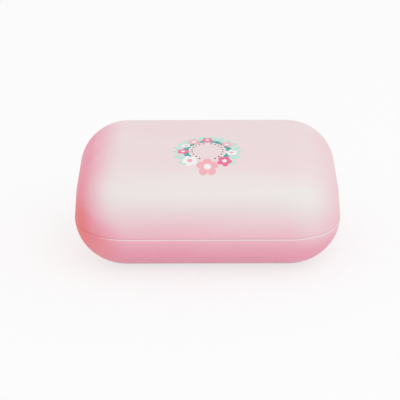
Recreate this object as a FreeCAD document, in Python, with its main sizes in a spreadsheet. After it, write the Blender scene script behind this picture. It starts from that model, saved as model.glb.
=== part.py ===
"""Travel soap box: a deep lid that lifts off a shallow base, with a slotted drain tray inside.

Millimetres, +Z up.  The origin is the middle of the face that the box stands on; X runs along the
box's length and -Y is its front.  The lid and the base meet in the seam, a level plane.
"""
import FreeCAD, Part
import math
import os

import Sketcher

Vector = FreeCAD.Vector

SIZES = {
    # the outline that both shells share in the plane of the seam
    "box_length": 115,
    "box_depth": 76,
    "corner_radius": 23,
    # both shells
    "wall": 2,
    "rim_rounding": 0.5,
    "shoulder_land": 0.4,
    # base: a shallow dish with a round lower edge
    "base_height": 19,
    "base_draft": 8,
    "base_shoulder": 20.5,
    "foot_width": 3.5,
    "foot_relief": 0.5,
    # lid: steep walls, a broad round shoulder and a flat top
    "lid_height": 31,
    "lid_draft": 4.8,
    "lid_shoulder": 21,
    # lap joint: a tongue on the base stands inside the thinned rim of the lid
    "lid_rim": 1,
    "lap_height": 4,
    "lap_clearance": 0.12,
    "lap_end_gap": 0.4,
    "lead_in": 0.3,
    # snap: a bead on each long side of the tongue clicks into a groove of the lid
    "bead_length": 44,
    "bead_end_land": 2,
    "bead_radius": 0.5,
    "bead_proud": 0.2,
    "bead_level": 2.2,
    "groove_clearance": 0.15,
    # drain tray: a plate with a lip, drain slots, ribs under the soap and four feet
    "tray_gap": 0.5,
    "tray_thickness": 1.8,
    "tray_lip_width": 1.4,
    "tray_lip_height": 1.2,
    "tray_edge_rounding": 0.5,
    "sump_depth": 3.8,
    "tray_foot_diameter": 6,
    "tray_foot_inset": 3.5,
    "slot_width": 3,
    "slot_length": 17,
    "slot_pitch": 8,
    "slot_row_gap": 5,
    "slots_in_row": 7,
    "rib_width": 1.4,
    "rib_height": 1.5,
    "rib_rounding": 0.5,
    "finger_radius": 9,
}

doc = FreeCAD.newDocument("travel_soap_box")
sheet = doc.addObject("Spreadsheet::Sheet", "Sizes")
for row, (alias, value) in enumerate(SIZES.items(), 1):
    sheet.set(f"A{row}", alias)
    sheet.set(f"B{row}", str(value))
    sheet.setAlias(f"B{row}", alias)
doc.recompute()


def size(alias):
    """The number in the sheet's cell of that name."""
    return float(sheet.get(alias))


def new_body(label):
    """An empty body for one moulding."""
    body = doc.addObject("PartDesign::Body", label)
    body.Label = label
    return body


def origin_part(body, role):
    """One of the body's own planes or axes."""
    return next(f for f in body.Origin.OriginFeatures if f.Role == role)


def new_sketch(body, name, level="0", role="XY_Plane"):
    """A sketch on one of the body's own planes, lifted off it by level."""
    sketch = body.newObject("Sketcher::SketchObject", name)
    sketch.AttachmentSupport = (origin_part(body, role), [""])
    sketch.MapMode = "FlatFace"
    sketch.setExpression("AttachmentOffset.Base.z", level)
    return sketch


def drive(sketch, constraint, expression):
    """Adds a dimension to the sketch and ties it to the sheet."""
    index = sketch.addConstraint(constraint)
    sketch.setExpression(f"Constraints[{index}]", expression)


def rounded_rectangle(sketch, length, depth, radius):
    """Four lines and four corner arcs, centred on the sketch's origin."""
    x, y, r = 20.0, 15.0, 5.0
    first = sketch.GeometryCount
    corners = ((x, -y), (x, y), (-x, y), (-x, -y))
    for quarter, corner in enumerate(corners):
        turn = (quarter - 1) * math.pi / 2
        outwards = Vector(math.cos(turn), math.sin(turn)) * r
        start = Vector(*corners[quarter - 1]) + outwards
        sketch.addGeometry(Part.LineSegment(start, Vector(*corner) + outwards))
        circle = Part.Circle(Vector(*corner), Vector(0, 0, 1), r)
        sketch.addGeometry(Part.ArcOfCircle(circle, turn, turn + math.pi / 2))
    for piece in range(8):
        following = first + (piece + 1) % 8
        sketch.addConstraint(Sketcher.Constraint("Tangent", first + piece, 2, following, 1))
    bottom, right, top, left = range(first, first + 8, 2)
    arcs = range(first + 1, first + 8, 2)
    for line in (bottom, top):
        sketch.addConstraint(Sketcher.Constraint("Horizontal", line))
    for line in (right, left):
        sketch.addConstraint(Sketcher.Constraint("Vertical", line))
    for arc in arcs[1:]:
        sketch.addConstraint(Sketcher.Constraint("Equal", arcs[0], arc))
    sketch.addConstraint(Sketcher.Constraint("Symmetric", arcs[0], 3, arcs[2], 3, -1, 1))
    drive(sketch, Sketcher.Constraint("DistanceX", left, 1, right, 1, 2 * (x + r)), length)
    drive(sketch, Sketcher.Constraint("DistanceY", bottom, 1, top, 1, 2 * (y + r)), depth)
    drive(sketch, Sketcher.Constraint("Radius", arcs[0], r), radius)


def inset_outline(sketch, inset):
    """The seam's outline, moved inwards by inset."""
    rounded_rectangle(
        sketch,
        f"Sizes.box_length - 2 * ({inset})",
        f"Sizes.box_depth - 2 * ({inset})",
        f"Sizes.corner_radius - ({inset})",
    )


def circle_at(sketch, x, y, radius):
    """A circle placed from the sketch's origin."""
    index = sketch.addGeometry(Part.Circle(Vector(7, 7), Vector(0, 0, 1), 2))
    drive(sketch, Sketcher.Constraint("DistanceX", -1, 1, index, 3, 7), x)
    drive(sketch, Sketcher.Constraint("DistanceY", -1, 1, index, 3, 7), y)
    drive(sketch, Sketcher.Constraint("Radius", index, 2), radius)


def upright_stadium(sketch, x, y, length, width):
    """A slot with round ends, its long axis along the sketch's Y."""
    first = sketch.GeometryCount
    up = Vector(0, 0, 1)
    high, low = Vector(7, 12), Vector(7, 2)
    side = Vector(2, 0)
    sketch.addGeometry(Part.LineSegment(low + side, high + side))
    sketch.addGeometry(Part.ArcOfCircle(Part.Circle(high, up, 2), 0, math.pi))
    sketch.addGeometry(Part.LineSegment(high - side, low - side))
    sketch.addGeometry(Part.ArcOfCircle(Part.Circle(low, up, 2), math.pi, 2 * math.pi))
    for piece in range(4):
        following = first + (piece + 1) % 4
        sketch.addConstraint(Sketcher.Constraint("Tangent", first + piece, 2, following, 1))
    sketch.addConstraint(Sketcher.Constraint("Vertical", first))
    sketch.addConstraint(Sketcher.Constraint("Equal", first + 1, first + 3))
    drive(sketch, Sketcher.Constraint("Radius", first + 1, 2), f"({width}) / 2")
    drive(sketch, Sketcher.Constraint("DistanceX", -1, 1, first + 3, 3, 7), x)
    drive(sketch, Sketcher.Constraint("DistanceY", -1, 1, first + 3, 3, 2),
          f"{y} - ({length} - {width}) / 2")
    drive(sketch, Sketcher.Constraint("DistanceY", first + 3, 3, first + 1, 3, 10),
          f"{length} - {width}")


def extrude(body, kind, sketch, length, reverse=False, draft=None, both_ways=False):
    """A Pad or Pocket of that length; draft narrows it as it goes."""
    feature = body.newObject(f"PartDesign::{kind}", f"{sketch.Name}_{kind.lower()}")
    feature.Profile = sketch
    feature.Reversed = reverse
    feature.setExpression("Length", length)
    if draft:
        feature.setExpression("TaperAngle", f"-{draft}")
    if both_ways:
        feature.SideType = "Symmetric"
    doc.recompute()
    return feature


def level_edges(feature, level):
    """Names of the feature's edges that lie flat at that height."""
    names = []
    for number, edge in enumerate(feature.Shape.Edges, 1):
        box = edge.BoundBox
        if abs(box.ZMin - level) < 1e-4 and abs(box.ZMax - level) < 1e-4:
            names.append(f"Edge{number}")
    return names


def fillet(body, feature, name, edges, radius):
    """Rounds the named edges of the feature."""
    rounding = body.newObject("PartDesign::Fillet", name)
    rounding.Base = (feature, edges)
    rounding.setExpression("Radius", radius)
    doc.recompute()
    return rounding


def mirror_to_back(body, feature, name):
    """Repeats a feature of the front on the back."""
    mirrored = body.newObject("PartDesign::Mirrored", name)
    mirrored.Originals = [feature]
    mirrored.MirrorPlane = (origin_part(body, "XZ_Plane"), [""])
    body.Tip = mirrored
    doc.recompute()
    return mirrored


def row_along_length(body, feature, name, count):
    """Repeats a feature along X, one slot pitch apart."""
    pattern = body.newObject("PartDesign::LinearPattern", name)
    pattern.Originals = [feature]
    pattern.Direction = (origin_part(body, "X_Axis"), [""])
    pattern.setExpression("Length", f"({count} - 1) * Sizes.slot_pitch")
    pattern.setExpression("Occurrences", count)
    body.Tip = pattern
    doc.recompute()
    return pattern


def shoulder_limit(height, draft, kept):
    """The largest shoulders that leave a land at the end's corners, and one beside kept of the wall."""
    lean = f"tan({draft})"
    corner = f"Sizes.corner_radius - Sizes.shoulder_land - {height} * {lean}"
    upright = f"{height} - Sizes.shoulder_land - ({kept})"
    return f"({corner}) / (1 / cos({draft}) - {lean}); ({upright}) / (1 - sin({draft}))"


def drafted_shell(body, name, height, draft, shoulder, upward):
    """A drafted cup that opens at the seam: block, rim, cavity, then the inner and outer shoulder."""
    seam = size("base_height")
    closed_end = seam + size("lid_height") if upward else 0.0
    inner_end = closed_end - size("wall") if upward else size("wall")

    outline = new_sketch(body, f"{name}_outline", "Sizes.base_height")
    inset_outline(outline, "0")
    block = extrude(body, "Pad", outline, height, reverse=not upward, draft=draft)
    rim = fillet(body, block, f"{name}_rim_round", level_edges(block, seam), "Sizes.rim_rounding")

    mouth = new_sketch(body, f"{name}_mouth", "Sizes.base_height")
    inset_outline(mouth, f"Sizes.wall / cos({draft})")
    cavity = extrude(body, "Pocket", mouth, f"{height} - Sizes.wall", reverse=upward, draft=draft)
    assert cavity.Shape.Volume < rim.Shape.Volume

    inner = fillet(body, cavity, f"{name}_inner_shoulder", level_edges(cavity, inner_end),
                   f"{shoulder} - Sizes.wall")
    return fillet(body, inner, f"{name}_outer_shoulder", level_edges(inner, closed_end), shoulder)


def snap_line(body, name, radius):
    """A circle across the tongue's front, centred just inside the tongue's outer face."""
    line = new_sketch(body, name, role="YZ_Plane")
    circle_at(
        line,
        f"{TONGUE_INSET} + Sizes.bead_level * tan(Sizes.lid_draft)"
        " + Sizes.bead_radius - Sizes.bead_proud - Sizes.box_depth / 2",
        "Sizes.base_height + Sizes.bead_level",
        radius,
    )
    return line


# Sizes that follow from the sheet: both shoulders as far as their walls allow, the tongue's outer
# face, the snap's length, the flat of the base's floor and the tray's outline on the round wall
BASE_SHOULDER = "min(Sizes.base_shoulder; {})".format(
    shoulder_limit("Sizes.base_height", "Sizes.base_draft", "Sizes.rim_rounding"))
LID_SHOULDER = "min(Sizes.lid_shoulder; {})".format(
    shoulder_limit("Sizes.lid_height", "Sizes.lid_draft",
                   "Sizes.lap_height + Sizes.lap_end_gap + Sizes.wall"))
TONGUE_INSET = "Sizes.lid_rim + Sizes.lap_clearance"
SNAP_LENGTH = ("min(Sizes.bead_length;"
               " Sizes.box_length - 2 * (Sizes.corner_radius + Sizes.bead_end_land))")
FLOOR_INSET = (f"(Sizes.base_height - {BASE_SHOULDER}) * tan(Sizes.base_draft)"
               f" + {BASE_SHOULDER} / cos(Sizes.base_draft)")
INNER_SHOULDER = f"({BASE_SHOULDER} - Sizes.wall)"
TRAY_INSET = (f"{FLOOR_INSET} + Sizes.tray_gap"
              f" - sqrt({INNER_SHOULDER}^2 - ({INNER_SHOULDER} - Sizes.sump_depth)^2)")
TRAY_TOP = "Sizes.wall + Sizes.sump_depth + Sizes.tray_thickness"

# Base: the shallow dish
base = new_body("base_shell")
dish = drafted_shell(base, "base", "Sizes.base_height", "Sizes.base_draft", BASE_SHOULDER, upward=False)

# its underside is relieved, so that it stands on a narrow foot all round
relief = new_sketch(base, "foot_relief")
rounded_rectangle(
    relief,
    f"Sizes.box_length - 2 * ({FLOOR_INSET} + Sizes.foot_width)",
    f"Sizes.box_depth - 2 * ({FLOOR_INSET} + Sizes.foot_width)",
    "Sizes.foot_width",
)
relieved = extrude(base, "Pocket", relief, "Sizes.foot_relief", reverse=True)
assert relieved.Shape.Volume < dish.Shape.Volume

# the tongue: a drafted block on the rim, bored out along the line of the cavity
tongue = new_sketch(base, "tongue", "Sizes.base_height")
inset_outline(tongue, TONGUE_INSET)
tongue_block = extrude(base, "Pad", tongue, "Sizes.lap_height", draft="Sizes.lid_draft")
tongue_top = level_edges(tongue_block, size("base_height") + size("lap_height"))
led_in = fillet(base, tongue_block, "tongue_lead_in", tongue_top, "Sizes.lead_in")
bore = new_sketch(base, "tongue_bore", "Sizes.base_height")
inset_outline(bore, "Sizes.wall / cos(Sizes.base_draft)")
bored = extrude(base, "Pocket", bore, "Sizes.lap_height", reverse=True, draft="Sizes.lid_draft")
assert bored.Shape.Volume < led_in.Shape.Volume

# the snap bead on the tongue, front and back
bead = extrude(base, "Pad", snap_line(base, "bead", "Sizes.bead_radius"), SNAP_LENGTH, both_ways=True)
mirror_to_back(base, bead, "bead_back")

# Lid: the deep shell
lid = new_body("lid_shell")
hood = drafted_shell(lid, "lid", "Sizes.lid_height", "Sizes.lid_draft", LID_SHOULDER, upward=True)

# its rim is thinned from inside to stand round the tongue
rebate = new_sketch(lid, "rebate", "Sizes.base_height")
inset_outline(rebate, "Sizes.lid_rim")
thinned = extrude(lid, "Pocket", rebate, "Sizes.lap_height + Sizes.lap_end_gap",
                  reverse=True, draft="Sizes.lid_draft")
assert thinned.Shape.Volume < hood.Shape.Volume

# the groove that the bead clicks into, front and back
groove_line = snap_line(lid, "groove", "Sizes.bead_radius + Sizes.groove_clearance")
groove = extrude(lid, "Pocket", groove_line, f"{SNAP_LENGTH} + 2 * Sizes.groove_clearance", both_ways=True)
assert groove.Shape.Volume < thinned.Shape.Volume
mirror_to_back(lid, groove, "groove_back")

# Drain tray: the plate, level with the round wall of the dish, and the lip round it
tray = new_body("drain_tray")
plate_outline = new_sketch(tray, "plate", "Sizes.wall + Sizes.sump_depth")
inset_outline(plate_outline, TRAY_INSET)
plate = extrude(tray, "Pad", plate_outline, "Sizes.tray_thickness + Sizes.tray_lip_height")
hollow_outline = new_sketch(tray, "hollow", TRAY_TOP)
inset_outline(hollow_outline, f"{TRAY_INSET} + Sizes.tray_lip_width")
hollow = extrude(tray, "Pocket", hollow_outline, "Sizes.tray_lip_height", reverse=True)
assert hollow.Shape.Volume < plate.Shape.Volume
plate_bottom = size("wall") + size("sump_depth")
lip_top = plate_bottom + size("tray_thickness") + size("tray_lip_height")
tray_edges = level_edges(hollow, plate_bottom) + level_edges(hollow, lip_top)
softened = fillet(tray, hollow, "tray_edge_round", tray_edges, "Sizes.tray_edge_rounding")

# four feet that stand on the flat of the floor
feet_outline = new_sketch(tray, "feet", "Sizes.wall")
for side_x in ("-", ""):
    for side_y in ("-", ""):
        circle_at(
            feet_outline,
            f"{side_x}(Sizes.box_length / 2 - ({FLOOR_INSET}) - Sizes.tray_foot_inset)",
            f"{side_y}(Sizes.box_depth / 2 - ({FLOOR_INSET}) - Sizes.tray_foot_inset)",
            "Sizes.tray_foot_diameter / 2",
        )
feet = extrude(tray, "Pad", feet_outline, "Sizes.sump_depth + Sizes.tray_thickness / 2")

# two rows of drain slots, repeated along the tray
slot_outline = new_sketch(tray, "slots", "Sizes.wall")
first_slot = "(1 - Sizes.slots_in_row) / 2 * Sizes.slot_pitch"
slot_row = "(Sizes.slot_row_gap + Sizes.slot_length) / 2"
upright_stadium(slot_outline, first_slot, slot_row, "Sizes.slot_length", "Sizes.slot_width")
upright_stadium(slot_outline, first_slot, f"-{slot_row}", "Sizes.slot_length", "Sizes.slot_width")
slots = extrude(tray, "Pocket", slot_outline, "Sizes.sump_depth + 2 * Sizes.tray_thickness", reverse=True)
assert slots.Shape.Volume < feet.Shape.Volume
row_along_length(tray, slots, "slot_rows", "Sizes.slots_in_row")

# ribs between the slots, which carry the soap
rib_outline = new_sketch(tray, "ribs", TRAY_TOP)
upright_stadium(rib_outline, "-Sizes.slots_in_row / 2 * Sizes.slot_pitch", "0",
                "2 * Sizes.slot_length + Sizes.slot_row_gap", "Sizes.rib_width")
rib = extrude(tray, "Pad", rib_outline, "Sizes.rib_height")
rib_row = row_along_length(tray, rib, "rib_row", "Sizes.slots_in_row + 1")
rib_top = plate_bottom + size("tray_thickness") + size("rib_height")
ribs = fillet(tray, rib_row, "rib_round", level_edges(rib_row, rib_top), "Sizes.rib_rounding")

# a finger notch at each end, to lift the tray by
notch_outline = new_sketch(tray, "finger_notches", "Sizes.wall")
for side_x in ("-", ""):
    circle_at(notch_outline, f"{side_x}(Sizes.box_length / 2 - ({TRAY_INSET}))", "0", "Sizes.finger_radius")
notches = extrude(tray, "Pocket", notch_outline,
                  "Sizes.sump_depth + 2 * (Sizes.tray_thickness + Sizes.tray_lip_height)", reverse=True)
assert notches.Shape.Volume < ribs.Shape.Volume

# Every feature must be sound before anything is written
doc.recompute()
for item in doc.Objects:
    if "Invalid" in item.State or "Error" in item.State:
        raise RuntimeError(f"{item.Label} did not build")
for body in (base, lid, tray):
    if body.Shape.isNull() or not body.Shape.isValid() or len(body.Shape.Solids) != 1:
        raise RuntimeError(f"{body.Label} isn't one sound solid")

os.makedirs("parts", exist_ok=True)
for body in (base, lid, tray):
    body.Shape.exportStep(f"parts/{body.Label}.step")
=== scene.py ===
import math

import bpy
import numpy as np
from mathutils import Matrix, Vector


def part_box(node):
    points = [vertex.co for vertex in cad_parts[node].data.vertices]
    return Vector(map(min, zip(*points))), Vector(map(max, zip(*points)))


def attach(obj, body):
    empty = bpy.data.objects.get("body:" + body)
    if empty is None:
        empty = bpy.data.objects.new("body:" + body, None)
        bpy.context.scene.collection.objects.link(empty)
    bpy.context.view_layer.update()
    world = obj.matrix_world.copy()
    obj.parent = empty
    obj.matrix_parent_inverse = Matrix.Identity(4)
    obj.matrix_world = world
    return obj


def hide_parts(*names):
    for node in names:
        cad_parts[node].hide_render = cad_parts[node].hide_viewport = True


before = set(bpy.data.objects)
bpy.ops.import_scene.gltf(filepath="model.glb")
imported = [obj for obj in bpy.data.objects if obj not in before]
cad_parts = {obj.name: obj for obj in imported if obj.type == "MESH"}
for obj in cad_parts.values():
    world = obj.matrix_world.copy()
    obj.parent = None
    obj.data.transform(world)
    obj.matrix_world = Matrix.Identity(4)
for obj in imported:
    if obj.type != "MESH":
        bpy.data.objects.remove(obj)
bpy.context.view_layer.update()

# Base shell: the shallow lower dish of pearly pink plastic, injection moulded in one shot, with the
# tongue that the lid slips over and its snap bead.  A stack of rounded rectangles gives its skin, from
# the middle of the floor up inside, over the tongue and down outside to the foot.
MM = 0.001
box_length, box_depth, corner_radius = 115 * MM, 76 * MM, 23 * MM
wall, rim_rounding = 2 * MM, 0.5 * MM
seam_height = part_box("lid_shell")[0].z
base_draft, base_shoulder = math.radians(8), 20.5 * MM
lid_draft = math.radians(4.8)
lid_rim, lap_height, lap_clearance, lead_in = 1 * MM, 4 * MM, 0.12 * MM, 0.3 * MM
bead_length, bead_radius, bead_proud, bead_level = 44 * MM, 0.5 * MM, 0.2 * MM, 2.2 * MM
foot_width, foot_relief = 3.5 * MM, 0.5 * MM
gate_radius, gate_depth = 3.5 * MM, 0.3 * MM
stub_radius, stub_height, stub_taper = 0.8 * MM, 0.2 * MM, 0.8
flat_margin = 0.5 * MM
quarter_turn = math.pi / 2


def outline_stations(on_long_side, on_short_side, in_corner):
    """Stations round a rounded rectangle, counter-clockwise from the left end of its front.

    A station has a place on the core rectangle, as a share of its half sides, and an outward
    direction.  Along a side the place moves; in a corner the direction turns by a quarter circle.
    """
    places, turns = [], []
    for quarter, count in enumerate((on_long_side, on_short_side, on_long_side, on_short_side)):
        along = np.linspace(-1, 1, count)
        corner = np.linspace(0, quarter_turn, in_corner + 1)[1:-1]
        front = np.stack([np.append(along, np.ones_like(corner)), -np.ones(count + len(corner))])
        cosine, sine = round(math.cos(quarter * quarter_turn)), round(math.sin(quarter * quarter_turn))
        places.append(np.array([[cosine, -sine], [sine, cosine]]) @ front)
        turns.append(np.append(np.zeros(count), corner) + (quarter - 1) * quarter_turn)
    turn = np.concatenate(turns)
    return np.concatenate(places, axis=1), np.stack([np.cos(turn), np.sin(turn)])


def inset_rings(inset, height):
    """Rings of the box's outline moved inwards: each is half length, half depth, corner radius, height."""
    inset, height = np.asarray(inset, float), np.asarray(height, float)
    return np.stack([box_length / 2 - inset, box_depth / 2 - inset, corner_radius - inset, height], axis=1)


def arc_rings(centre_inset, centre_height, radius, start, end, steps):
    """Rings along an arc of the profile: centre plus radius times the cosine outwards and the sine up."""
    angle = np.linspace(start, end, steps)
    return inset_rings(centre_inset - radius * np.cos(angle), centre_height + radius * np.sin(angle))


def ring_points(rings, stations):
    """Every ring at every station: the core's place, plus the corner radius times the direction."""
    place, out = stations
    half_length, half_depth, radius, height = rings.T[:, :, None]
    x = (half_length - radius) * place[0] + radius * out[0]
    y = (half_depth - radius) * place[1] + radius * out[1]
    return np.stack([x, y, height + 0 * x], axis=2)


def gate_points(face_edge):
    """Circles at the middle of a face that looks down: a shallow dimple, and in it the gate's stub.

    Each station lies on the straight line from the middle to that station of the face's edge.
    """
    radius = np.array([gate_radius + gate_depth, gate_radius, stub_radius, stub_taper * stub_radius])
    depth = np.array([0, gate_depth, gate_depth, gate_depth - stub_height])
    x, y, height = face_edge.T
    share = radius[:, None] / np.hypot(x, y)
    return np.stack([share * x, share * y, height + depth[:, None]], axis=2)


def ring_piece(name, points, sharp_angle):
    """A closed skin: quads from each ring to the next, and a fan of triangles in the first and the last."""
    rings, stations = points.shape[:2]
    index = np.arange(rings * stations).reshape(rings, stations)
    following = np.roll(index, -1, axis=1)
    quads = np.stack([index[:-1], index[1:], following[1:], following[:-1]], axis=2).reshape(-1, 4)
    middle = np.full(stations, rings * stations)
    fans = np.concatenate([
        np.stack([middle, index[0], following[0]], axis=1),
        np.stack([middle + 1, following[-1], index[-1]], axis=1),
    ])
    corners = np.concatenate([points.reshape(-1, 3), points[[0, -1]].mean(axis=1)])
    mesh = bpy.data.meshes.new(name)
    mesh.from_pydata(corners, [], quads.tolist() + fans.tolist())
    mesh.shade_smooth()
    mesh.set_sharp_from_angle(angle=sharp_angle)
    piece = bpy.data.objects.new(name, mesh)
    bpy.context.scene.collection.objects.link(piece)
    return piece


def long_side_window(points, length):
    """1 along the middle of both long sides, 0 elsewhere, with an edge as wide as a station's step."""
    step = 2 * MM
    on_side = np.abs(points[..., 1]) > box_depth / 2 - corner_radius
    return on_side * np.clip((length / 2 - np.abs(points[..., 0])) / step + 0.5, 0, 1)


def snap_swell(points, radius):
    """How far a round bead of that radius stands out of the drafted lap face, by height."""
    inset = lid_rim + lap_clearance + bead_level * math.tan(lid_draft) + bead_radius - bead_proud
    rise = points[..., 2] - seam_height - bead_level
    bead = box_depth / 2 - inset + np.sqrt(np.maximum(radius ** 2 - rise ** 2, 0))
    return np.where(np.abs(rise) < radius, np.maximum(bead - np.abs(points[..., 1]), 0), 0)


stations = outline_stations(on_long_side=47, on_short_side=13, in_corner=28)
crease = math.radians(35)
floor_inset = (seam_height - base_shoulder) * math.tan(base_draft) + base_shoulder / math.cos(base_draft)
tongue_inset = lid_rim + lap_clearance
tongue_top = seam_height + lap_height
bore_inset = wall / math.cos(base_draft)
lead_inset = tongue_inset + (lead_in + (lap_height - lead_in) * math.sin(lid_draft)) / math.cos(lid_draft)
tongue_heights = np.linspace(tongue_top - 2 * lead_in, seam_height, num=23)
rim_inset = rim_rounding * (1 + math.sin(base_draft)) / math.cos(base_draft)
relief_inset = floor_inset + foot_width
inside = np.concatenate([
    inset_rings([corner_radius - flat_margin], [wall]),
    arc_rings(floor_inset, base_shoulder, base_shoulder - wall, -quarter_turn, -base_draft, steps=32),
    inset_rings([bore_inset, bore_inset + lap_height * math.tan(lid_draft)], [seam_height, tongue_top]),
])
tongue = np.concatenate([
    arc_rings(lead_inset, tongue_top - lead_in, lead_in, quarter_turn, lid_draft, steps=6),
    inset_rings(tongue_inset + (tongue_heights - seam_height) * math.tan(lid_draft), tongue_heights),
])
outside = np.concatenate([
    arc_rings(rim_inset, seam_height - rim_rounding, rim_rounding, quarter_turn, -base_draft, steps=9),
    arc_rings(floor_inset, base_shoulder, base_shoulder, -base_draft, -quarter_turn, steps=36),
    [[box_length / 2 - relief_inset, box_depth / 2 - relief_inset, foot_width, height]
     for height in (0, foot_relief)],
])
tongue_points = ring_points(tongue, stations)
bead = snap_swell(tongue_points, bead_radius) * long_side_window(tongue_points, bead_length)
tongue_points[..., 1] += np.sign(tongue_points[..., 1]) * bead
outside_points = ring_points(outside, stations)
base_moulding = ring_piece("base_moulding", np.concatenate([
    ring_points(inside, stations),
    tongue_points,
    outside_points,
    gate_points(outside_points[-1]),
]), crease)

# The tint goes by place and paints light and shade into the colour: deep pink low down, painted shade in
# rose over the left end and in salmon at that end's front corner, painted light in pale over the shoulders,
# a little less so on the top, a painted highlight in a pale line along the rim, and a foot painted paler
# against the shade low down.
deep_pink, painted_light_pink = (0.885, 0.38, 0.495, 1), (0.863, 0.82, 0.805, 1)
painted_shade_rose, painted_shade_salmon, painted_highlight_white = (0.885, 0.32, 0.455, 1), (0.845, 0.187, 0.188, 1), (0.93, 0.90, 0.90, 1)
paling_heights, crown_heights, crown_share = (8 * MM, 42 * MM), (36 * MM, 50 * MM), 0.76
left_end, right_end, right_share = (-56 * MM, -39 * MM), (41 * MM, 62 * MM), 0.44
lean_depths, end_lean = (-37 * MM, 0), -2.6 * MM
high_heights, high_lean = (39 * MM, 47 * MM), -1.3 * MM
low_heights, low_lean = (20 * MM, 30 * MM), -7 * MM
right_corner, corner_lift, lift_heights = (31 * MM, 54 * MM), 7.5 * MM, (11 * MM, 17.5 * MM)
foot_heights, foot_share = (2 * MM, 9 * MM), 0.16
salmon_span, salmon_edge = (-31 * MM, -55 * MM), (-46.5 * MM, -56 * MM)
salmon_turn, broad_share, edge_share = (17 * MM, 24 * MM), (0.75, 0.26), (0.25, 0.74)
salmon_heights, salmon_high_share = (24 * MM, 36 * MM), 0.42
salmon_depths, salmon_back_share = (-22 * MM, 12 * MM), 0.25
rose_edge, rose_depths = (-48.8 * MM, -51 * MM), (-20 * MM, -9 * MM)
# Where the painted highlight along the rim lies, and how strong it is.
rim_line_rise = (seam_height - 0.9 * MM, seam_height - 0.5 * MM)
rim_line_fall = (seam_height - 0.2 * MM, seam_height + 0.2 * MM)
rim_line_share, rim_line_end, rim_line_end_share = 0.48, (-48.5 * MM, -36.5 * MM), 0.1
flow_span, streak_share = (0.3, 0.7), 0.04
# How strong the painted glints of the flakes are.
glint_flakes, glint_share = (0.8, 1), 0.12
pearl_roughness, pearl_ior = (0.55, 0.45), 1.42
peel_strength, peel_depth = 0.12, 0.03 * MM
flow_draw, flow_swirl, flow_detail, peel_detail = 0.35, 0.8, 2, 1


def effect(name, inputs, outputs):
    """An empty shader node group with named number sockets, and those sockets as its nodes see them."""
    group = bpy.data.node_groups.new(name, "ShaderNodeTree")
    for socket in inputs:
        group.interface.new_socket(socket, in_out="INPUT", socket_type="NodeSocketFloat")
    for socket in outputs:
        group.interface.new_socket(socket, in_out="OUTPUT", socket_type="NodeSocketFloat")
    return group, group.nodes.new("NodeGroupInput").outputs, group.nodes.new("NodeGroupOutput").inputs


class Finish:
    """A new material, with the few kinds of node that a finish here is worked out from."""

    def __init__(self, name):
        self.material = bpy.data.materials.new(name)
        self.material.use_nodes = True
        self.nodes, self.links = self.material.node_tree.nodes, self.material.node_tree.links
        self.shader = self.nodes["Principled BSDF"]

    def place(self):
        """How far a point of the piece lies to the right, to the back and up."""
        node = self.nodes.new("ShaderNodeSeparateXYZ")
        self.links.new(self.nodes.new("ShaderNodeTexCoord").outputs["Object"], node.inputs[0])
        return node.outputs

    def masks(self, group, **scales):
        """The outputs of a shared effect, placed here with its own scales."""
        node = self.nodes.new("ShaderNodeGroup")
        node.node_tree = group
        for mark, scale in scales.items():
            node.inputs[f"{mark.title()} Scale"].default_value = scale
        return node.outputs

    def eased(self, value, span, shares):
        """A number that eases from the first share to the second as the value crosses the span."""
        node = self.nodes.new("ShaderNodeMapRange")
        node.interpolation_type = "SMOOTHSTEP"
        for socket, number in zip(("From Min", "From Max", "To Min", "To Max"), (*span, *shares)):
            node.inputs[socket].default_value = number
        self.links.new(value, node.inputs["Value"])
        return node.outputs["Result"]

    def joined(self, operation, *values):
        """The values added up, or multiplied."""
        result = values[0]
        for value in values[1:]:
            node = self.nodes.new("ShaderNodeMath")
            node.operation = operation
            self.links.new(result, node.inputs[0])
            self.links.new(value, node.inputs[1])
            result = node.outputs[0]
        return result

    def tinted(self, first, second, share):
        """A colour that goes from the first to the second as the share goes from 0 to 1."""
        node = self.nodes.new("ShaderNodeMix")
        node.data_type = "RGBA"
        node.inputs["B"].default_value = second
        if isinstance(first, tuple):
            node.inputs["A"].default_value = first
        else:
            self.links.new(first, node.inputs["A"])
        self.links.new(share, node.inputs["Factor"])
        return node.outputs["Result"]

    def dimpled(self, mask, strength, distance):
        """Fine dimples in the gloss, from a mask."""
        node = self.nodes.new("ShaderNodeBump")
        node.inputs["Strength"].default_value = strength
        node.inputs["Distance"].default_value = distance
        self.links.new(mask, node.inputs["Height"])
        self.links.new(node.outputs["Normal"], self.shader.inputs["Normal"])


moulded_plastic, scales, marks = effect(
    "moulded_plastic", ("Flow Scale", "Flake Scale", "Peel Scale"), ("Flow", "Flake", "Peel"))
nodes, links = moulded_plastic.nodes, moulded_plastic.links
place = nodes.new("ShaderNodeTexCoord").outputs["Object"]
drawn_out = nodes.new("ShaderNodeMapping")
drawn_out.inputs["Scale"].default_value = (flow_draw, 1, 1)
links.new(place, drawn_out.inputs["Vector"])
flow = nodes.new("ShaderNodeTexNoise")
flow.inputs["Detail"].default_value = flow_detail
flow.inputs["Distortion"].default_value = flow_swirl
links.new(drawn_out.outputs["Vector"], flow.inputs["Vector"])
links.new(scales["Flow Scale"], flow.inputs["Scale"])
links.new(flow.outputs["Fac"], marks["Flow"])
flake = nodes.new("ShaderNodeTexVoronoi")
links.new(place, flake.inputs["Vector"])
links.new(scales["Flake Scale"], flake.inputs["Scale"])
facing = nodes.new("ShaderNodeSeparateColor")
links.new(flake.outputs["Color"], facing.inputs["Color"])
links.new(facing.outputs["Red"], marks["Flake"])
peel = nodes.new("ShaderNodeTexNoise")
peel.inputs["Detail"].default_value = peel_detail
links.new(place, peel.inputs["Vector"])
links.new(scales["Peel Scale"], peel.inputs["Scale"])
links.new(peel.outputs["Fac"], marks["Peel"])

pearl = Finish("pearl_pink")
marks = pearl.masks(moulded_plastic, flow=38, flake=5500, peel=700)
across, back, height = pearl.place()
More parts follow.
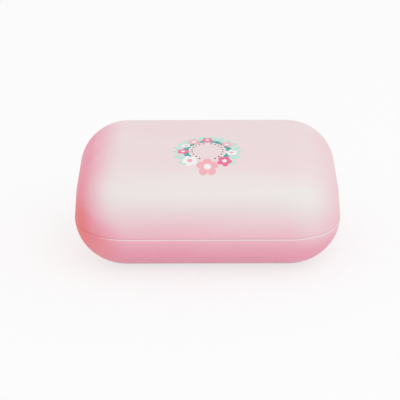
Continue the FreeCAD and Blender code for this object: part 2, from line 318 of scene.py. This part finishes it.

# How much painted light, pale where the light falls: more with height, less on the top and towards both
# ends, with faint streaks of flow in the plastic itself.
along = pearl.joined(
    "ADD",
    across,
    pearl.eased(back, lean_depths, (0, end_lean)),
    pearl.eased(height, high_heights, (0, high_lean)))
low_corner = pearl.eased(height, low_heights, (low_lean, 0))
# Painted light at the right corner: there the pale begins lower down.
lift = pearl.joined(
    "MULTIPLY",
    pearl.eased(across, right_corner, (0, corner_lift)),
    pearl.eased(height, lift_heights, (0, 1)))
painted_light = pearl.joined(
    "MULTIPLY",
    pearl.eased(pearl.joined("ADD", height, lift), paling_heights, (0, 1)),
    pearl.eased(height, crown_heights, (1, crown_share)),
    pearl.eased(pearl.joined("ADD", along, low_corner), left_end, (0, 1)),
    pearl.eased(across, right_end, (1, right_share)))
streaks = pearl.eased(marks["Flow"], flow_span, (-streak_share, streak_share))
# Painted light at the foot: paler low down, against the shade there.
painted_foot_light = pearl.eased(height, foot_heights, (foot_share, 0))
painted_light = pearl.joined("ADD", painted_light, streaks, painted_foot_light)

# How much painted shade in salmon, broad low down and mostly along the edge higher up, and how much
# painted shade in rose behind it.
broad = pearl.joined(
    "MULTIPLY",
    pearl.eased(along, salmon_span, (0, 1)),
    pearl.eased(height, salmon_turn, broad_share))
edge = pearl.joined(
    "MULTIPLY",
    pearl.eased(across, salmon_edge, (0, 1)),
    pearl.eased(height, salmon_turn, edge_share))
painted_salmon_shade = pearl.joined(
    "MULTIPLY",
    pearl.joined("ADD", broad, edge),
    pearl.eased(height, salmon_heights, (1, salmon_high_share)),
    pearl.eased(back, salmon_depths, (1, salmon_back_share)))
painted_rose_shade = pearl.joined(
    "MULTIPLY",
    pearl.eased(across, rose_edge, (0, 1)),
    pearl.eased(back, rose_depths, (0, 1)))

# How much painted highlight in white: the line along the rim, and the few flakes that catch the light.
painted_rim_highlight = pearl.joined(
    "MULTIPLY",
    pearl.eased(height, rim_line_rise, (0, rim_line_share)),
    pearl.eased(height, rim_line_fall, (1, 0)),
    pearl.eased(across, rim_line_end, (rim_line_end_share, 1)))
painted_glints = pearl.joined("ADD", painted_rim_highlight, pearl.eased(marks["Flake"], glint_flakes, (0, glint_share)))

# Deep pink, with painted shade in rose and salmon, painted light in pale pink and painted highlights in
# white.
colour = pearl.tinted(pearl.tinted(deep_pink, painted_shade_rose, painted_rose_shade), painted_shade_salmon, painted_salmon_shade)
colour = pearl.tinted(colour, painted_light_pink, painted_light)
pearl.links.new(pearl.tinted(colour, painted_highlight_white, painted_glints), pearl.shader.inputs["Base Color"])
pearl.links.new(pearl.eased(marks["Flake"], (0, 1), pearl_roughness), pearl.shader.inputs["Roughness"])
pearl.shader.inputs["IOR"].default_value = pearl_ior
pearl.dimpled(marks["Peel"], peel_strength, peel_depth)
base_moulding.data.materials.append(pearl.material)
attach(base_moulding, "base")
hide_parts("base_shell")

# Lid shell: the deep upper hood of the same plastic, with a flat top, broad round shoulders and a rim
# thinned from inside, where a groove takes the snap bead.
lid_top, lid_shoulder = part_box("lid_shell")[1].z, 21 * MM
lap_end_gap, groove_clearance = 0.4 * MM, 0.15 * MM

lid_height = lid_top - seam_height
top_inset = (lid_height - lid_shoulder) * math.tan(lid_draft) + lid_shoulder / math.cos(lid_draft)
lid_rim_inset = rim_rounding * (1 + math.sin(lid_draft)) / math.cos(lid_draft)
rebate_height = lap_height + lap_end_gap
rebate_heights = seam_height + np.linspace(0, rebate_height, num=25)
hood = np.concatenate([
    inset_rings([corner_radius - flat_margin], [lid_top]),
    arc_rings(top_inset, lid_top - lid_shoulder, lid_shoulder, quarter_turn, lid_draft, steps=40),
    arc_rings(lid_rim_inset, seam_height + rim_rounding, rim_rounding, lid_draft, -quarter_turn, steps=9),
])
rebate = inset_rings(lid_rim + (rebate_heights - seam_height) * math.tan(lid_draft), rebate_heights)
step_inset = wall / math.cos(lid_draft) + rebate_height * math.tan(lid_draft)
hollow = np.concatenate([
    inset_rings([step_inset], [seam_height + rebate_height]),
    arc_rings(top_inset, lid_top - lid_shoulder, lid_shoulder - wall, lid_draft, quarter_turn, steps=32),
    inset_rings([corner_radius - flat_margin], [lid_top - wall]),
])
rebate_points = ring_points(rebate, stations)
groove = snap_swell(rebate_points, bead_radius + groove_clearance)
groove *= long_side_window(rebate_points, bead_length + 2 * groove_clearance)
rebate_points[..., 1] += np.sign(rebate_points[..., 1]) * groove
hollow_points = ring_points(hollow, stations)
lid_moulding = ring_piece("lid_moulding", np.concatenate([
    ring_points(hood, stations),
    rebate_points,
    hollow_points,
    gate_points(hollow_points[-1]),
]), crease)
lid_moulding.data.materials.append(pearl.material)
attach(lid_moulding, "lid")
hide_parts("lid_shell")

# Drain tray: the loose slotted tray that holds the soap out of the water, a plain pale plastic with a
# satin face, moulded in one piece and dropped into the base on its four feet.
tray_pale, tray_pink, tray_streak_share = (0.90, 0.80, 0.81, 1), (0.88, 0.70, 0.73, 1), 0.6
tray_roughness = (0.44, 0.54)
tray_peel_strength, tray_peel_depth = 0.25, 0.02 * MM

satin = Finish("tray_plastic")
marks = satin.masks(moulded_plastic, flow=60, flake=3000, peel=1500)
streaks = satin.eased(marks["Flow"], flow_span, (0, tray_streak_share))
satin.links.new(satin.tinted(tray_pale, tray_pink, streaks), satin.shader.inputs["Base Color"])
satin.links.new(satin.eased(marks["Flow"], flow_span, tray_roughness), satin.shader.inputs["Roughness"])
satin.dimpled(marks["Peel"], tray_peel_strength, tray_peel_depth)
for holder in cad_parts["drain_tray"].material_slots:
    holder.material = satin.material

# Wreath print: a ring of leaves, blossoms and berries in flat inks, pad printed on the lid where its top
# turns down to the front.  Each motif is a film a few hundredths of a millimetre thick, laid on the lid.
wreath_forward, wreath_across, wreath_along = 15 * MM, 10.4 * MM, 11.6 * MM
ink_lift, ink_sunk, stagger = 0.018 * MM, 0.01 * MM, 0.003 * MM
leaf_layer, slim_leaf_layer, blossom_layer, centre_layer = 1, 1.5, 2.2, 3
leaf_size, leaf_width, leaf_lean = 2.9 * MM, 0.48, 38
slim_leaf_size, slim_leaf_width = 2.3 * MM, 0.42
petals, petal_notch, petal_fullness, petal_turn = 5, 0.36, 0.7, 18
centre_share, berry_radius, berry_inset = 0.33, 0.42 * MM, 3.8 * MM
ink_rings = np.array([0.16, 0.33, 0.5, 0.66, 0.82, 0.96, 1.0])
mottle_scale, mottle_detail, mottle_span, ink_roughness = 900, 3, (0.35, 0.75), (0.38, 0.5)


def on_lid(across, forward, lift):
    """A point of the flat artwork laid on the lid: straight over the flat top, then round the shoulder."""
    flat = box_depth / 2 - top_inset
    turn = np.maximum(forward - flat, 0) / lid_shoulder
    y = -np.minimum(forward, flat) - (lid_shoulder + lift) * np.sin(turn)
    z = lid_top - lid_shoulder + (lid_shoulder + lift) * np.cos(turn)
    return np.stack([across + 0 * y, y, z], axis=-1)


def leaf_outline(width):
    """A pointed oval on its stalk: along it one plus the cosine, across it the sine times its own root."""
    turn = np.linspace(0, 2 * math.pi, num=40, endpoint=False)
    return np.stack([1 + np.cos(turn), width * np.sin(turn) * np.sqrt(np.abs(np.sin(turn)))])


def blossom_outline():
    """A ring of round petals: the radius swells with the size of a cosine, once for each petal."""
    turn = np.linspace(0, 2 * math.pi, num=16 * petals, endpoint=False)
    radius = 1 - petal_notch + petal_notch * np.abs(np.cos(turn * petals / 2)) ** petal_fullness
    return radius * np.stack([np.cos(turn), np.sin(turn)])


def round_outline():
    """A circle."""
    turn = np.linspace(0, 2 * math.pi, num=24, endpoint=False)
    return np.stack([np.cos(turn), np.sin(turn)])


def on_wreath(outline, degrees, size, turned=0, inset=0):
    """Copies of an outline round the oval wreath: sized, turned from its run, and moved inwards."""
    angle = np.radians(degrees)[:, None]
    heading = angle + quarter_turn + math.radians(turned)
    length, width = np.reshape(size, (1, -1, 1)) * outline[:, None]
    across = (wreath_across - inset) * np.cos(angle) + length * np.cos(heading) - width * np.sin(heading)
    upward = (wreath_along - inset) * np.sin(angle) + length * np.sin(heading) + width * np.cos(heading)
    return np.stack([across, upward], axis=-1)


def both_sides(motifs):
    """The motifs and their mirror images, which run the other way round."""
    return np.concatenate([motifs, motifs[:, ::-1] * (-1, 1)])


def ink_film(name, motifs, layer):
    """Closed films: rings of each outline shrunk to its middle, a top point, and a point sunk below.

    The rings lie at the layer's lift, every second motif a little higher, and the last one is sunk.
    """
    count, corners = motifs.shape[:2]
    rings_up = len(ink_rings) - 1
    lift = layer * ink_lift + stagger * (np.arange(count) % 2)[:, None]
    lifts = np.concatenate([np.repeat(lift, rings_up, axis=1), np.full((count, 1), -ink_sunk)], axis=1)
    middle = motifs.mean(axis=1, keepdims=True)
    flat = middle[:, None] + ink_rings[:, None, None] * (motifs - middle)[:, None]
    rings = on_lid(flat[..., 0], wreath_forward - flat[..., 1], lifts[..., None])
    top = on_lid(middle[..., 0], wreath_forward - middle[..., 1], lift)
    sunk = on_lid(middle[..., 0], wreath_forward - middle[..., 1], -2 * ink_sunk)
    points = np.concatenate([rings.reshape(count, -1, 3), top, sunk], axis=1)
    start = points.shape[1] * np.arange(count)[:, None, None]
    index = start + np.arange(len(ink_rings) * corners).reshape(len(ink_rings), corners)
    following = np.roll(index, -1, axis=2)
    quads = np.stack([index[:, :-1], index[:, 1:], following[:, 1:], following[:, :-1]], axis=3)
    peak = start[..., 0] + len(ink_rings) * corners + 0 * index[:, 0]
    fans = np.concatenate([
        np.stack([peak, index[:, 0], following[:, 0]], axis=2),
        np.stack([peak + 1, following[:, -1], index[:, -1]], axis=2),
    ])
    faces = quads.reshape(-1, 4).tolist() + fans.reshape(-1, 3).tolist()
    mesh = bpy.data.meshes.new(name)
    mesh.from_pydata(points.reshape(-1, 3), [], faces)
    mesh.shade_smooth()
    piece = bpy.data.objects.new(name, mesh)
    bpy.context.scene.collection.objects.link(piece)
    return piece


printed_ink, scales, marks = effect("printed_ink", ("Mottle Scale",), ("Thin",))
nodes, links = printed_ink.nodes, printed_ink.links
mottle = nodes.new("ShaderNodeTexNoise")
mottle.inputs["Detail"].default_value = mottle_detail
links.new(nodes.new("ShaderNodeTexCoord").outputs["Object"], mottle.inputs["Vector"])
links.new(scales["Mottle Scale"], mottle.inputs["Scale"])
links.new(mottle.outputs["Fac"], marks["Thin"])


def ink(name, full, thin):
    """A satin ink, a little paler where the film is thin."""
    film = Finish(name)
    mask = film.masks(printed_ink, mottle=mottle_scale)["Thin"]
    colour = film.tinted(full, thin, film.eased(mask, mottle_span, (0, 1)))
    film.links.new(colour, film.shader.inputs["Base Color"])
    film.links.new(film.eased(mask, mottle_span, ink_roughness), film.shader.inputs["Roughness"])
    return film.material


mint = ink("mint_ink", (0.47, 0.79, 0.67, 1), (0.58, 0.82, 0.74, 1))
teal = ink("teal_ink", (0.004, 0.34, 0.32, 1), (0.02, 0.40, 0.38, 1))
coral = ink("coral_ink", (0.93, 0.43, 0.49, 1), (0.92, 0.50, 0.54, 1))
hot_pink = ink("hot_pink_ink", (0.86, 0.14, 0.29, 1), (0.88, 0.20, 0.35, 1))
white = ink("white_ink", (0.93, 0.92, 0.92, 1), (0.91, 0.88, 0.88, 1))
plum = ink("plum_ink", (0.13, 0.05, 0.08, 1), (0.20, 0.09, 0.13, 1))

leaf, slim_leaf = leaf_outline(leaf_width), leaf_outline(slim_leaf_width)
blossom, dot = blossom_outline(), round_outline()
leaf_places, slim_leaf_places = np.arange(-52, 70, 17), np.arange(-44, 70, 17)
berry_places = np.arange(-60, 90, 17)
coral_places, coral_sizes = [-90, 36, 124], np.array([4.8, 2.8, 3.0]) * MM
white_places, white_sizes = [-136, -10, 152], np.array([3.5, 2.8, 2.2]) * MM
pink_places, pink_sizes = [-46, -176, 90], np.array([3.2, 2.7, 2.6]) * MM
leaves = both_sides(on_wreath(leaf, leaf_places, leaf_size, -leaf_lean))
slim_leaves = both_sides(on_wreath(slim_leaf, slim_leaf_places, slim_leaf_size, leaf_lean))
coral_blossoms = on_wreath(blossom, coral_places, coral_sizes, petal_turn)
white_blossoms = on_wreath(blossom, white_places, white_sizes, petal_turn)
pink_blossoms = on_wreath(blossom, pink_places, pink_sizes, petal_turn)
bright_sizes = np.append(coral_sizes, pink_sizes)
bright_centres = on_wreath(dot, coral_places + pink_places, centre_share * bright_sizes)
white_centres = on_wreath(dot, white_places, centre_share * white_sizes)
berries = both_sides(on_wreath(dot, berry_places, berry_radius, inset=berry_inset))
wreath = (
    ("print_mint_leaves", mint, leaf_layer, leaves),
    ("print_teal_leaves", teal, slim_leaf_layer, slim_leaves),
    ("print_coral_blossoms", coral, blossom_layer, coral_blossoms),
    ("print_white_blossoms", white, blossom_layer, white_blossoms),
    ("print_pink_blossoms", hot_pink, blossom_layer, pink_blossoms),
    ("print_white_centres", white, centre_layer, bright_centres),
    ("print_coral_centres", coral, centre_layer, white_centres),
    ("print_plum_berries", plum, leaf_layer, berries),
)
for name, colour, layer, motifs in wreath:
    film = ink_film(name, motifs, layer)
    film.data.materials.append(colour)
    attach(film, "lid")

# Stage: a plain white floor and a white surround, with one soft lamp above, to the front and the right.
floor_reach, floor_white, floor_roughness, shadow_share = 4.0, 0.96, 0.9, 0.3
surround_light, surround_seen = 0.86, 1.0
lamp_place, lamp_target = Vector((0.36, -0.5, 0.83)), Vector((0, 0, 0.02))
lamp_width, lamp_watts = 0.7, 1.25


def seen_directly(nodes, links):
    """A value that is 1 for what the camera sees, straight or in a gloss or through glass, and else 0."""
    path = nodes.new("ShaderNodeLightPath")
    seen = path.outputs["Is Camera Ray"]
    for kind in ("Is Glossy Ray", "Is Transmission Ray"):
        either = nodes.new("ShaderNodeMath")
        either.operation = "MAXIMUM"
        links.new(seen, either.inputs[0])
        links.new(path.outputs[kind], either.inputs[1])
        seen = either.outputs[0]
    return seen


stage_white = bpy.data.materials.new("stage_white")
stage_white.use_nodes = True
nodes, links = stage_white.node_tree.nodes, stage_white.node_tree.links
paint = nodes["Principled BSDF"]
paint.inputs["Base Color"].default_value = (floor_white, floor_white, floor_white, 1)
paint.inputs["Roughness"].default_value = floor_roughness
glow = nodes.new("ShaderNodeEmission")
share = nodes.new("ShaderNodeMath")
share.operation = "MULTIPLY"
share.inputs[1].default_value = 1 - shadow_share
links.new(seen_directly(nodes, links), share.inputs[0])
mixed = nodes.new("ShaderNodeMixShader")
links.new(share.outputs[0], mixed.inputs["Fac"])
links.new(paint.outputs[0], mixed.inputs[1])
links.new(glow.outputs[0], mixed.inputs[2])
links.new(mixed.outputs[0], nodes["Material Output"].inputs["Surface"])

floor_corners = floor_reach * np.array([(-1, -1, 0), (1, -1, 0), (1, 1, 0), (-1, 1, 0)])
floor_mesh = bpy.data.meshes.new("floor")
floor_mesh.from_pydata(floor_corners, [], [(0, 1, 2, 3)])
floor = bpy.data.objects.new("floor", floor_mesh)
floor.data.materials.append(stage_white)
bpy.context.scene.collection.objects.link(floor)

world = bpy.data.worlds.new("studio")
bpy.context.scene.world = world
world.use_nodes = True
nodes, links = world.node_tree.nodes, world.node_tree.links
background = nodes["Background"]
background.inputs["Color"].default_value = (1, 1, 1, 1)
level = nodes.new("ShaderNodeMapRange")
level.inputs["To Min"].default_value = surround_light
level.inputs["To Max"].default_value = surround_seen
links.new(seen_directly(nodes, links), level.inputs["Value"])
links.new(level.outputs["Result"], background.inputs["Strength"])

lamp = bpy.data.lights.new("softbox", "AREA")
lamp.size, lamp.energy = lamp_width, lamp_watts
softbox = bpy.data.objects.new("softbox", lamp)
softbox.location = lamp_place
softbox.rotation_euler = (lamp_target - lamp_place).to_track_quat("-Z", "Y").to_euler()
bpy.context.scene.collection.objects.link(softbox)

# Camera: in front of the box and above it, aimed at the middle of the seam.
elevation = math.radians(24.54)
distance = 786.76 * MM
focal_px, frame_px = 1783.0, 400
principal_px = (207.5, 202.2)
roll = math.radians(-0.14)
camera_data = bpy.data.cameras.new("camera")
camera_data.lens = camera_data.sensor_width * focal_px / frame_px
camera_data.shift_x = (frame_px / 2 - principal_px[0]) / frame_px
camera_data.shift_y = (principal_px[1] - frame_px / 2) / frame_px
camera = bpy.data.objects.new("camera", camera_data)
aim = Vector((0, 0, seam_height))
behind = Vector((0, -math.cos(elevation), math.sin(elevation)))
turn = Matrix.Rotation(quarter_turn - elevation, 4, "X") @ Matrix.Rotation(roll, 4, "Z")
camera.matrix_world = Matrix.Translation(aim + behind * distance) @ turn
bpy.context.scene.collection.objects.link(camera)
bpy.context.scene.camera = camera
bpy.context.scene.view_settings.view_transform = "Standard"
